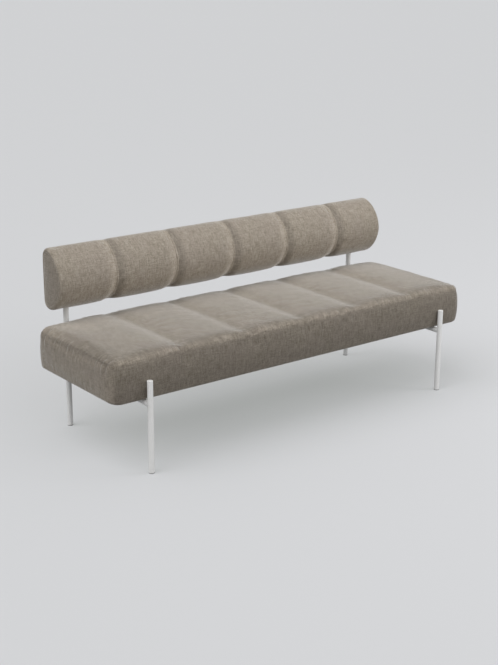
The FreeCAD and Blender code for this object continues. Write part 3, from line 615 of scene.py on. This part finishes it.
def seat_needlework(places, normals):
    """puckers beside the seams, slow waves on the top, and the rim's seam with its pleats"""
    x, y, z = places.T
    away = from_seam(x)
    on_top = soft_step(normals[:, 2], 0.6, 0.95)
    inward = np.minimum(seat_half_depth - abs(y), seat_half_length - abs(x))
    pucker = ripple(away * 45, y * 60, x * 3) * np.exp(-abs(away) / 0.022)
    pucker *= 1 - soft_step(inward, 0.01, 0.10)
    height = on_top * (PUCKER_HEIGHT * pucker + WAVE_HEIGHT * ripple(x * 13, y * 13, 2))
    rim = marks_of(seat_cushion, "rim")
    height += PLEAT_HEIGHT * rim_pleats(places, normals)
    height -= RIM_GROOVE * bell(rim, 0.0028) * (1 - soft_step(abs(rim), 0.01, 0.02))
    faces_front = abs(normals[:, 1]) > abs(normals[:, 0])
    along = np.where(faces_front, x, y)
    ribs = RIB_HEIGHT * ripple(along * 150, z * 10, 9) + WIDE_RIB_HEIGHT * ripple(along * 85, z * 14, 7)
    return height + (1 - soft_step(abs(normals[:, 2]), 0.5, 0.9)) * np.where(faces_front, 1.0, 0.3) * ribs


# tones that multiply the seat's cloth colour: all are painted light and shade except STREAK_TONE, the cloth's
# random streaks
TOP_PAINTED_LIGHT = 1.05
BACK_PAINTED_LIGHT = 0.35
STREAK_TONE = 0.07
SIDE_RIM_PAINTED_LIGHT = 1.06
END_RIM_PAINTED_SHADE = 0.78
FRONT_PAINTED_SHADE = 0.77
END_PAINTED_SHADE = 0.99
PLEAT_PAINTED_SHADE = 0.13


def seat_painted_shading(places, normals):
    """painted light and shade in the cloth's colour: below the rim's seam the front is painted darker and the
    end face darker towards its top, the rims and pleats get painted light and shade, and the top is painted
    lighter towards the back; random streaks run along the top
    """
    x, y, z = places.T
    rim = marks_of(seat_cushion, "rim")
    faces_front = soft_step(abs(normals[:, 1]), 0.55, 0.8)
    from_side = seat_half_depth - abs(y)
    from_end = seat_half_length - abs(x)
    at_end = soft_step(from_side - from_end, -0.01, 0.03)
    below_rim = 1 - soft_step(rim, -0.002, 0.002)
    # painted light and shade on the rolled rims: the long rims are painted lighter at the edge and darker
    # just inside it, the rims at the ends darker
    side_rim_painted_shading = SIDE_RIM_PAINTED_LIGHT - 0.21 * soft_step(from_side, 0.0, 0.030)
    side_rim_painted_shading += 0.15 * soft_step(from_side, 0.045, 0.10)
    end_rim_painted_shade = END_RIM_PAINTED_SHADE + 0.22 * soft_step(from_end, 0.03, 0.14)
    # painted light: the top is painted lighter towards the back and a little darker near the front
    top_painted_light = TOP_PAINTED_LIGHT - 0.06 * bell(y + 0.25, 0.12) + BACK_PAINTED_LIGHT * bell(y - 0.22, 0.13)
    streaks = 1 + STREAK_TONE * ripple(x * 80, y * 24, 4)
    upper = streaks * top_painted_light * (side_rim_painted_shading * (1 - at_end) + end_rim_painted_shade * at_end)
    # painted shade: the end face is painted darker towards its top
    end_face_painted_shade = END_PAINTED_SHADE - 0.10 * soft_step(z, 0.36, 0.46)
    # painted shade: below the rim's seam the front is painted darker
    painted_shade_below_rim = FRONT_PAINTED_SHADE * faces_front + end_face_painted_shade * (1 - faces_front)
    # painted shade: the end face is painted darker just below the rim's seam, and the pleats darker in their
    # hollows and lighter on their crests
    painted_pleat_shade = 1 - 0.24 * bell(rim + 0.002, 0.014) * at_end * (1 - faces_front)
    painted_pleat_shade *= 1 + PLEAT_PAINTED_SHADE * np.clip(rim_pleats(places, normals), -1, 1)
    return painted_pleat_shade * (upper * (1 - below_rim) + painted_shade_below_rim * below_rim)


marked(seat_cushion, "nap", seat_painted_shading)
worked(seat_cushion, seat_needlework)
seat_cushion.data.attributes.remove(seat_cushion.data.attributes["rim"])

YARN = 0.0024
SLUBS_ACROSS = 190
SLUBS_ALONG = 28
FIBRES_PER_METRE = 330.0
WEAVE_DEPTH = 0.0008
DARK_YARN = (0.153, 0.129, 0.098)
LIGHT_YARN = (0.362, 0.322, 0.272)
WARM_YARN = (0.28, 0.235, 0.22, 1)
fabric = Finish("woven_taupe", sheen_weight=1.0, sheen_roughness=0.3)
fabric.feed(fabric.surface, "Sheen Tint", (1.0, 0.98, 0.95, 1))
fabric.feed(fabric.surface, "Specular IOR Level", 0.1)
flat = fabric.node("ShaderNodeSeparateXYZ", {}, {"Vector": fabric.place(uv=True)})
warp_round = fabric.maths("ABSOLUTE", fabric.maths("SINE", flat["X"] * (math.pi / YARN)))
weft_round = fabric.maths("ABSOLUTE", fabric.maths("SINE", flat["Y"] * (math.pi / YARN)))
checks = {"Vector": fabric.place(uv=True), "Scale": 1 / YARN}
warp_over = fabric.node("ShaderNodeTexChecker", {}, checks)["Fac"]
weft_over = 1 - warp_over
warp_slub = fabric.speckle(fabric.place((SLUBS_ACROSS, SLUBS_ALONG, 1), uv=True), 1.0, 3.0, 0.75)
weft_slub = fabric.speckle(fabric.place((SLUBS_ALONG, SLUBS_ACROSS, 1), uv=True), 1.0, 3.0, 0.75)
slub = warp_slub * 0.56 + weft_slub * 0.44
fibre = fabric.speckle(fabric.place(uv=True), FIBRES_PER_METRE, 2.0, 0.7)
mottle = fabric.speckle(fabric.place(uv=True), 22.0, 3.0)
tone = slub * 0.58 + fibre * 0.37 + mottle * 0.05
yarns = fabric.ramp(tone, [(0.41, DARK_YARN), (0.59, LIGHT_YARN)])
warm = fabric.between(fabric.speckle(fabric.place(uv=True), 6.0, 2.0), 0.35, 0.65)
cloth_tone = fabric.blend(warm * 0.12, yarns, WARM_YARN)
# the cloth's colour is multiplied by painted light and shade set per point on the seat and the bolster, with
# the seat top's random streaks
nap = fabric.node("ShaderNodeAttribute", {"attribute_name": "nap"}, {})["Fac"]
shading_mix = {"Factor_Float": 1.0, "A_Color": cloth_tone, "B_Color": nap}
multiplied = {"data_type": "RGBA", "blend_type": "MULTIPLY"}
fabric.colour(fabric.node("ShaderNodeMix", multiplied, shading_mix)["Result_Color"])
fabric.roughness(fabric.between(slub, 0.3, 0.7, 0.8, 0.95))
weave = warp_over * warp_round + weft_over * weft_round
fabric.bump(weave * 0.25 + slub * 2.2 + fibre, WEAVE_DEPTH, 0.8)
seat_cushion.data.materials.append(fabric.material)
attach(seat_cushion, "root")
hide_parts("seat_cover", "seat_foam")


# Dust cloth: black non-woven cloth of pressed fibres. It is stapled under the timber frame and closes
# the seat's underside.

DUST_CLOTH_BLACKS = ((0.025, 0.025, 0.027), (0.05, 0.05, 0.052))
FELT_PER_METRE = 1500.0
FELT_DEPTH = 0.0002
dust_cloth = Finish("dust_cloth")
felt = dust_cloth.speckle(dust_cloth.place(), FELT_PER_METRE, 3.0)
dust_cloth.colour(dust_cloth.ramp(felt, [(0.3, DUST_CLOTH_BLACKS[0]), (0.7, DUST_CLOTH_BLACKS[1])]))
dust_cloth.roughness(dust_cloth.between(felt, 0.3, 0.7, 0.85, 0.95))
dust_cloth.bump(felt, FELT_DEPTH)
dust_cloth.on("seat_lining")


# Fasteners: zinc plated steel. Four bolts with saddle washers go up through the side rails into
# threaded inserts, and two bolts through each rear post into its block.

BLUISH_ZINC = (0.50, 0.51, 0.52)
YELLOWISH_ZINC = (0.62, 0.62, 0.60)
SPANGLES_PER_METRE = 600.0
SPANGLE_DEPTH = 0.00005
zinc = Finish("zinc_plate", metallic=1.0)
plating = zinc.speckle(zinc.place(), SPANGLES_PER_METRE, 3.0)
zinc.colour(zinc.ramp(plating, [(0.3, BLUISH_ZINC), (0.7, YELLOWISH_ZINC)]))
zinc.roughness(zinc.between(plating, 0.3, 0.7, 0.28, 0.42))
zinc.bump(plating, SPANGLE_DEPTH)
for held_piece in ("seat", "bolster"):
    zinc.on(f"{held_piece}_bolts", f"{held_piece}_washers", f"{held_piece}_inserts")


# Post blocks: two upright softwood blocks inside the bolster, glued and screwed to the board. Each is
# bored from below for a rear post.

softwood("softwood_upright", (60, 60, 3)).on(*of_each_side("post_block"))


# Bolster: a shaped foam back on the board, in a cover of six panels. Each of its five seams runs up the
# front, and the turned allowance is stitched down beside it as a raised band. The ends are sewn in.

bolster_low, bolster_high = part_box("bolster_cover")
BOLSTER_FRONT_DIP = 0.006
BOLSTER_TOP_DIP = 0.001
BOLSTER_BOTTOM_DIP = 0.005
BOLSTER_END_ROLL = 0.017
BOLSTER_DOME = 0.003
BOLSTER_BACK_ROLL = 0.041
NOSE_POWER = 1.8
BOLSTER_ACROSS_STEPS = 14
BOLSTER_UP_STEPS = 26
OUTLINE_STEPS = 240
RING_START = -2.3
RING_HUB = 0.03
bolster_middle = (bolster_low.z + bolster_high.z) / 2


def evenly(points, count):
    """count points at equal distances round a closed outline"""
    closed = np.vstack([points, points[:1]])
    distance = np.concatenate([[0], np.cumsum(np.linalg.norm(np.diff(closed, axis=0), axis=1))])
    wanted = np.arange(count) * distance[-1] / count
    return np.column_stack([np.interp(wanted, distance, closed[:, side]) for side in (0, 1)])


def bolster_ring(x, inset=0.0):
    """the bolster across its length: an upright back, rolled back edges and a convex front; the first
    point lies low on the front, at the angle RING_START round a hub in front of the back roll"""
    dip = 1 - panel_rise(x)
    low = bolster_low.z + BOLSTER_BOTTOM_DIP * dip + inset
    high = bolster_high.z - BOLSTER_TOP_DIP * dip - inset
    back = bolster_high.y - inset
    front = bolster_low.y + BOLSTER_FRONT_DIP * (1 - panel_rise(x, 6.0)) + inset
    roll = BOLSTER_BACK_ROLL - inset
    start = bolster_high.y - BOLSTER_BACK_ROLL
    outline = [(start, low)]
    outline += rolled((start, low + roll), roll, -math.pi / 2, 0, 24)
    outline += bowed((back, low + roll), (back, high - roll), 0.02, 40)
    outline += rolled((start, high - roll), roll, 0, math.pi / 2, 24)
    for index in range(OUTLINE_STEPS + 1):
        turn = math.pi / 2 - math.pi * index / OUTLINE_STEPS
        reach = abs(math.cos(turn)) ** (2 / NOSE_POWER)
        lift = math.copysign(abs(math.sin(turn)) ** (2 / NOSE_POWER), turn)
        half = high - bolster_middle if turn > 0 else bolster_middle - low
        outline.append((start - (start - front) * reach, bolster_middle + half * lift))
    count = 2 * (BOLSTER_ACROSS_STEPS + BOLSTER_UP_STEPS)
    ring = evenly(np.array(outline), 4 * count)
    turns = np.arctan2(ring[:, 1] - bolster_middle, ring[:, 0] - start + RING_HUB)
    first = np.argmin(np.abs(turns - RING_START))
    ring = np.roll(ring, -first, axis=0)[::4]
    return np.array([(x, *point) for point in ring])


bolster_end = bolster_high.x
SEWN_END = ((0.0, 0.0030), (0.0035, 0.0012), (0.009, 0.0))
bolster_rings = rounded_rings(bolster_ring, bolster_end, BOLSTER_END_ROLL, BOLSTER_DOME, 5, SEWN_END)
bolster_cushion = cushion("bolster_cushion", bolster_rings, BOLSTER_ACROSS_STEPS, BOLSTER_UP_STEPS,
                          BOLSTER_DOME)


def bolster_hold(places, normals):
    """the board holds the back, and the seams hold the rest"""
    backed = soft_step(places[:, 1], bolster_high.y - 0.010, bolster_high.y - 0.004)
    tied = 1 - soft_step(abs(from_seam(places[:, 0])), 0.001, 0.004)
    ends = soft_step(abs(places[:, 0]), bolster_end - 0.02, bolster_end - 0.008)
    return np.maximum(np.maximum(backed, tied), np.maximum(ends, 0.02))


held = bolster_hold(places_of(bolster_cushion.data), normals_of(bolster_cushion.data))
swell(bolster_cushion, held, pressure=0.5, slack=0.003, reach=0.003)
subdivided(bolster_cushion)


SEAM_FALL = 0.0050
LAP_DEPTH = 0.0020
GATHER_HEIGHT = 0.0010
FOLDED_EDGE = 0.0011
ALLOWANCE_EDGE = 0.0009


def bolster_needlework(places, normals):
    """each panel falls to a lapped seam with two stitched edges, and the next rises from it in gathers"""
    x, y, z = places.T
    away = from_seam(x)
    forward = soft_step(bolster_high.y - y, 0.004, 0.04) * (1 - soft_step(abs(normals[:, 0]), 0.8, 0.98))
    front = soft_step(-normals[:, 1], 0.05, 0.6)
    depth = forward * (0.25 + 0.75 * front)
    fall = soft_step(away, -0.045, -0.004)
    climb = soft_step(away, 0.010, 0.050)
    lap = soft_step(away, -0.0045, -0.001) * (1 - soft_step(away, 0.012, 0.030))
    edges = FOLDED_EDGE * bell(away + 0.005, 0.0018) + ALLOWANCE_EDGE * bell(away - 0.0060, 0.0015)
    gather = ripple(z * 80, y * 80, x * 3) + 0.5 * ripple(z * 160, y * 160, x * 3 + 9)
    gathered = soft_step(away, 0.006, 0.011) * (1 - soft_step(away, 0.016, 0.040))
    height = edges + GATHER_HEIGHT * gather * gathered - SEAM_FALL * fall * (1 - climb) - LAP_DEPTH * lap
    return height * depth


# tones that multiply the bolster's cloth colour, all painted light and shade
FRONT_PAINTED_LIGHT = 0.30
SHOULDER_PAINTED_SHEEN = 0.36
SEAM_SHADE = 0.30
STITCHED_PAINTED_HIGHLIGHT = 0.42


def bolster_painted_light(places, normals):
    """painted light and shade in the cloth's colour: the front is painted lighter, most on the left shoulder
    of each seam as a painted sheen, with painted highlights along the seam's two stitched edges and painted
    shade right of each seam; the ends are painted darker, and faces turned up darker than faces turned down
    """
    away = from_seam(places[:, 0])
    forward = soft_step(-normals[:, 1] + 0.5 * abs(normals[:, 2]), 0.2, 0.6)
    # painted sheen on the left shoulder of each seam, and painted shade on the right of it
    left = soft_step(away, -0.060, -0.012) * (1 - soft_step(away, -0.006, 0.002))
    right = soft_step(away, 0.004, 0.012) * (1 - soft_step(away, 0.020, 0.060))
    # painted highlights along the seam's two stitched edges
    stitched = bell(away + 0.003, 0.0024) + 0.7 * bell(away - 0.0065, 0.0018)
    # painted shade: the ends are painted darker, and faces turned up darker than faces turned down
    ends = soft_step(abs(normals[:, 0]), 0.6, 0.9)
    shoulder_sheen = SHOULDER_PAINTED_SHEEN - 0.20 * soft_step(normals[:, 2], 0.3, 0.7)
    shade_by_facing = 1 - 0.06 * normals[:, 2]
    # painted light on the front, with the painted sheen, highlights and shade at the seams
    painted_light_and_shade = FRONT_PAINTED_LIGHT + shoulder_sheen * left - SEAM_SHADE * right + STITCHED_PAINTED_HIGHLIGHT * stitched
    return shade_by_facing * (1 - 0.09 * ends + forward * painted_light_and_shade)


marked(bolster_cushion, "nap", bolster_painted_light)
worked(bolster_cushion, bolster_needlework)
bolster_cushion.data.materials.append(fabric.material)
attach(bolster_cushion, "root")
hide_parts("bolster_cover", "bolster_foam")


# Studio: a pale grey floor and backdrop without an edge. Even light comes from all round, a soft light
# from the upper left, a weak one from the front and a round lamp from the near right.

FLOOR_WIDTH = 200
FLOOR_PAINT = (0.635, 0.625, 0.672, 1)
FLOOR_GLOW = (0.642, 0.672, 0.639, 1)
FLOOR_BOUNCE = (0.22, 0.22, 0.22, 1)
SHADOW_LIFT = 0.43
SKY_WHITE = (1, 1, 1, 1)
SKY_STRENGTH = 0.475
BACKDROP_GREY = (0.638, 0.645, 0.658, 1)
bpy.ops.object.select_all(action="DESELECT")
bpy.ops.mesh.primitive_plane_add(size=FLOOR_WIDTH, location=(0, 0, 0))
floor = bpy.context.object
floor.name = "studio_floor"
paint = Finish("floor_paint", roughness=1.0)
paint.feed(paint.surface, "Specular IOR Level", 0.0)
paint.colour(FLOOR_PAINT)
backdrop = paint.node("ShaderNodeEmission", {}, {"Color": FLOOR_GLOW})["Emission"]
matt = paint.node("ShaderNodeBsdfDiffuse", {}, {"Color": FLOOR_BOUNCE})["BSDF"]
painted = Signal(paint, paint.surface.outputs["BSDF"])
lifted = {"Fac": SHADOW_LIFT, "Shader": painted, "Shader_001": backdrop}
seen = paint.node("ShaderNodeMixShader", {}, lifted)["Shader"]
ray = paint.node("ShaderNodeLightPath", {}, {})
to_eye = ray["Is Camera Ray"] + ray["Is Glossy Ray"] + ray["Is Transmission Ray"]
by_ray = {"Fac": to_eye, "Shader": matt, "Shader_001": seen}
shown = paint.node("ShaderNodeMixShader", {}, by_ray)["Shader"]
paint.feed(paint.tree.nodes["Material Output"], "Surface", shown)
floor.data.materials.append(paint.material)

world = bpy.data.worlds.new("studio_light")
bpy.context.scene.world = world
world.use_nodes = True
sky = world.node_tree
light = sky.nodes["Background"]
light.inputs["Color"].default_value = SKY_WHITE
light.inputs["Strength"].default_value = SKY_STRENGTH
backdrop_seen = sky.nodes.new("ShaderNodeBackground")
backdrop_seen.inputs["Color"].default_value = BACKDROP_GREY
sky_ray = sky.nodes.new("ShaderNodeLightPath")
seen_share = sky_ray.outputs["Is Camera Ray"]
for name in ("Is Glossy Ray", "Is Transmission Ray"):
    add = sky.nodes.new("ShaderNodeMath")
    sky.links.new(seen_share, add.inputs[0])
    sky.links.new(sky_ray.outputs[name], add.inputs[1])
    seen_share = add.outputs[0]
choice = sky.nodes.new("ShaderNodeMixShader")
sky.links.new(seen_share, choice.inputs[0])
sky.links.new(light.outputs[0], choice.inputs[1])
sky.links.new(backdrop_seen.outputs[0], choice.inputs[2])
sky.links.new(choice.outputs[0], sky.nodes["World Output"].inputs["Surface"])


def soft_light(name, direction, strength, angle):
    """a distant light that comes from a direction and fills an angle of the sky"""
    lamp = bpy.data.lights.new(name, "SUN")
    lamp.energy = strength * math.pi
    lamp.angle = math.radians(angle)
    holder = bpy.data.objects.new(name, lamp)
    holder.rotation_mode = "QUATERNION"
    holder.rotation_quaternion = Vector(direction).to_track_quat("Z", "Y")
    bpy.context.collection.objects.link(holder)


def panel_light(name, place, target, watts, size):
    """a round studio lamp at a place, turned towards a target"""
    lamp = bpy.data.lights.new(name, "AREA")
    lamp.energy = watts
    lamp.shape = "DISK"
    lamp.size = size
    holder = bpy.data.objects.new(name, lamp)
    holder.location = place
    holder.rotation_mode = "QUATERNION"
    holder.rotation_quaternion = (Vector(target) - Vector(place)).to_track_quat("-Z", "Y")
    bpy.context.collection.objects.link(holder)


soft_light("side_light", direction=(-0.61, 0.0, 0.79), strength=0.53, angle=60)
soft_light("front_light", direction=(0.0, -0.87, 0.5), strength=0.18, angle=50)
panel_light("key_light", place=(4.2, -3.5, 2.6), target=(0, 0, 0.4), watts=84.6, size=2.6)


# Camera: it stands to the front left of the sofa, a little above a standing person's eye, and looks
# down at it through a long lens.

CAMERA_PLACE = (-3.4253, -4.3452, 2.1149)
CAMERA_YAW = math.radians(37.663)
CAMERA_PITCH = math.radians(-17.548)
CAMERA_ROLL = math.radians(0.267)
LENS_MILLIMETRES = 67.93
SIGHT_END = 400
ahead = Vector((math.sin(CAMERA_YAW) * math.cos(CAMERA_PITCH),
                math.cos(CAMERA_YAW) * math.cos(CAMERA_PITCH), math.sin(CAMERA_PITCH)))
level = Vector((math.cos(CAMERA_YAW), -math.sin(CAMERA_YAW), 0))
upright = level.cross(ahead)
right = level * math.cos(CAMERA_ROLL) + upright * math.sin(CAMERA_ROLL)
up = upright * math.cos(CAMERA_ROLL) - level * math.sin(CAMERA_ROLL)
lens = bpy.data.cameras.new("camera")
lens.lens = LENS_MILLIMETRES
lens.clip_end = SIGHT_END
camera = bpy.data.objects.new("camera", lens)
bpy.context.collection.objects.link(camera)
turn = Matrix((right, up, -ahead)).transposed()
camera.matrix_world = Matrix.Translation(CAMERA_PLACE) @ turn.to_4x4()
bpy.context.scene.camera = camera
bpy.context.scene.view_settings.view_transform = "Standard"
